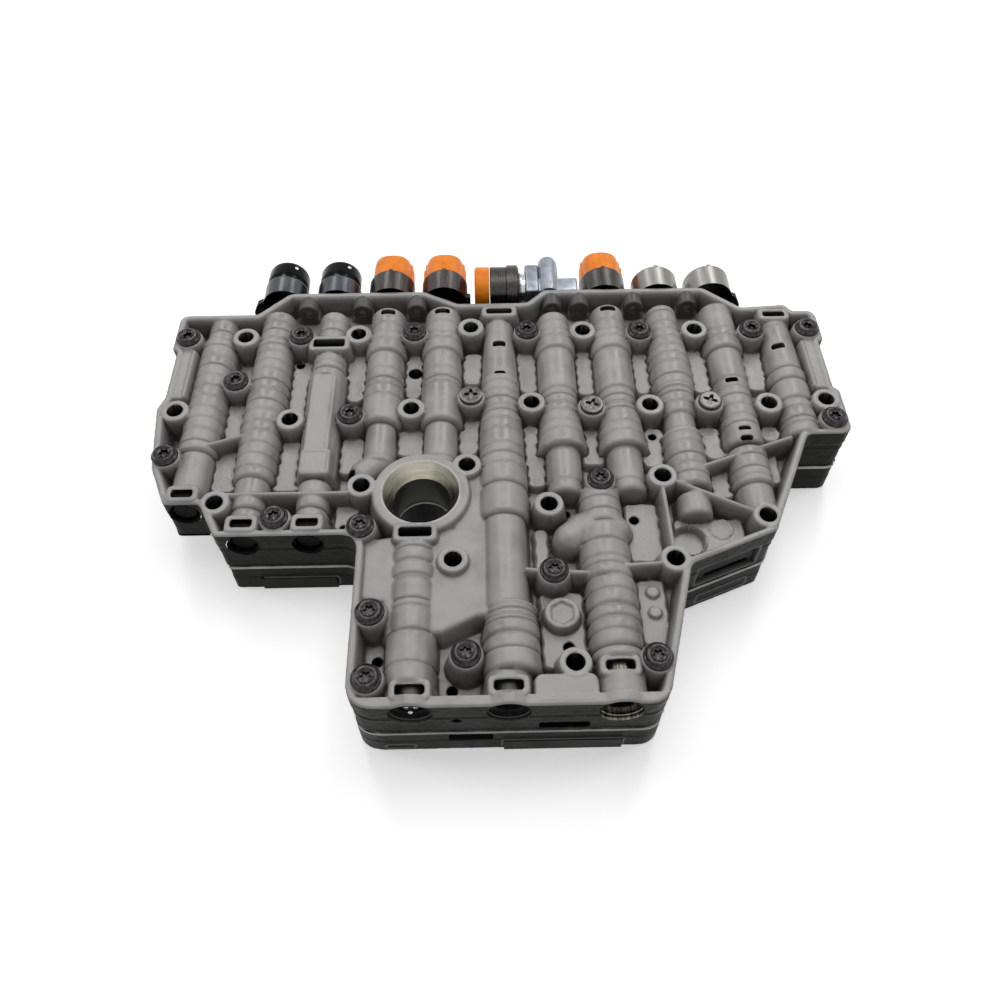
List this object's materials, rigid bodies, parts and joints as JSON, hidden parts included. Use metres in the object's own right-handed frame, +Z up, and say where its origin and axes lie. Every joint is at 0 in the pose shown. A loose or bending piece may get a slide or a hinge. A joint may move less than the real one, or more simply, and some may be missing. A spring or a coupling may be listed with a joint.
{
  "type": "transmission mechatronic unit",
  "caption": "Cast valve body in two halves with ribbed valve bores, sliding spools, flange screws, a large through bore and a row of end-on solenoids.",
  "frame": {"origin": "on the underside, under the row's middle bore and level with the datum that the bore places are measured from", "axes": "+X along the row of valve bores, +Y along the bores from the front wall to the solenoids, +Z up out of the ribbed face"},
  "size_m": [0.322, 0.2591, 0.0475],
  "materials": {
    "cast_aluminium": "die-cast, satin grey, machined faces brighter",
    "sheet_steel": "flat rolled sheet",
    "black_oxide": "blackened steel",
    "dark_steel": "drawn and turned, dark",
    "turned_steel": "turned and ground",
    "bright_casting": "bright cast",
    "orange_plastic": "moulded, satin",
    "black_plastic": "moulded, glossy"
  },
  "bodies": {
    "valve_body": {"lower_valve_housing": "cast_aluminium", "separator_plate": "sheet_steel", "upper_valve_housing": "cast_aluminium", "flange_screw_01": "black_oxide", "flange_screw_02": "black_oxide", "flange_screw_03": "black_oxide", "flange_screw_04": "black_oxide", "flange_screw_05": "black_oxide", "flange_screw_06": "black_oxide", "flange_screw_07": "black_oxide", "flange_screw_08": "black_oxide", "flange_screw_09": "black_oxide", "flange_screw_10": "black_oxide", "flange_screw_11": "black_oxide", "flange_screw_12": "black_oxide", "flange_screw_13": "black_oxide", "flange_screw_14": "black_oxide", "flange_screw_15": "black_oxide", "flange_screw_16": "black_oxide", "flange_screw_17": "black_oxide", "flange_screw_18": "black_oxide", "flange_screw_19": "black_oxide", "plug_screw_1": "dark_steel", "plug_screw_2": "dark_steel", "plug_screw_3": "dark_steel", "left_end_plug": "turned_steel", "left_return_spring": "turned_steel", "second_end_plug": "turned_steel", "second_return_spring": "turned_steel", "third_end_plug": "turned_steel", "third_return_spring": "turned_steel", "front_left_end_plug": "turned_steel", "front_left_return_spring": "turned_steel", "front_middle_end_plug": "turned_steel", "front_middle_return_spring": "turned_steel", "front_right_end_plug": "turned_steel", "front_right_return_spring": "turned_steel", "solenoid_can_1": "dark_steel", "solenoid_can_2": "dark_steel", "solenoid_can_3": "dark_steel", "solenoid_can_4": "dark_steel", "solenoid_can_5": "dark_steel", "solenoid_can_6": "dark_steel", "solenoid_can_7": "dark_steel", "solenoid_can_8": "dark_steel", "solenoid_cap_1": "black_plastic", "solenoid_cap_2": "black_plastic", "solenoid_cap_3": "orange_plastic", "solenoid_cap_4": "orange_plastic", "solenoid_cap_5": "orange_plastic", "solenoid_cap_6": "orange_plastic", "bright_valve_block": "bright_casting", "solenoid_bracket": "black_oxide"},
    "left_spool": {"left_spool_valve": "turned_steel"},
    "second_spool": {"second_spool_valve": "turned_steel"},
    "third_spool": {"third_spool_valve": "turned_steel"},
    "front_left_spool": {"front_left_spool_valve": "turned_steel"},
    "front_middle_spool": {"front_middle_spool_valve": "turned_steel"},
    "front_right_spool": {"front_right_spool_valve": "turned_steel"}
  },
  "joints": [
    {"name": "left_spool_slide", "type": "slide", "parent": "valve_body", "child": "left_spool", "axis": [0, 1, 0], "range_m": [-0.004, 0], "stiffness_N_per_m": 500, "springref_m": 0.004, "deforming": ["left_return_spring"]},
    {"name": "second_spool_slide", "type": "slide", "parent": "valve_body", "child": "second_spool", "axis": [0, 1, 0], "range_m": [-0.004, 0], "stiffness_N_per_m": 500, "springref_m": 0.004, "deforming": ["second_return_spring"]},
    {"name": "third_spool_slide", "type": "slide", "parent": "valve_body", "child": "third_spool", "axis": [0, 1, 0], "range_m": [-0.004, 0], "stiffness_N_per_m": 500, "springref_m": 0.004, "deforming": ["third_return_spring"]},
    {"name": "front_left_spool_slide", "type": "slide", "parent": "valve_body", "child": "front_left_spool", "axis": [0, 1, 0], "range_m": [-0.004, 0], "stiffness_N_per_m": 500, "springref_m": 0.004, "deforming": ["front_left_return_spring"]},
    {"name": "front_middle_spool_slide", "type": "slide", "parent": "valve_body", "child": "front_middle_spool", "axis": [0, 1, 0], "range_m": [-0.004, 0], "stiffness_N_per_m": 500, "springref_m": 0.004, "deforming": ["front_middle_return_spring"]},
    {"name": "front_right_spool_slide", "type": "slide", "parent": "valve_body", "child": "front_right_spool", "axis": [0, 1, 0], "range_m": [-0.004, 0], "stiffness_N_per_m": 500, "springref_m": 0.004, "deforming": ["front_right_return_spring"]}
  ]
}
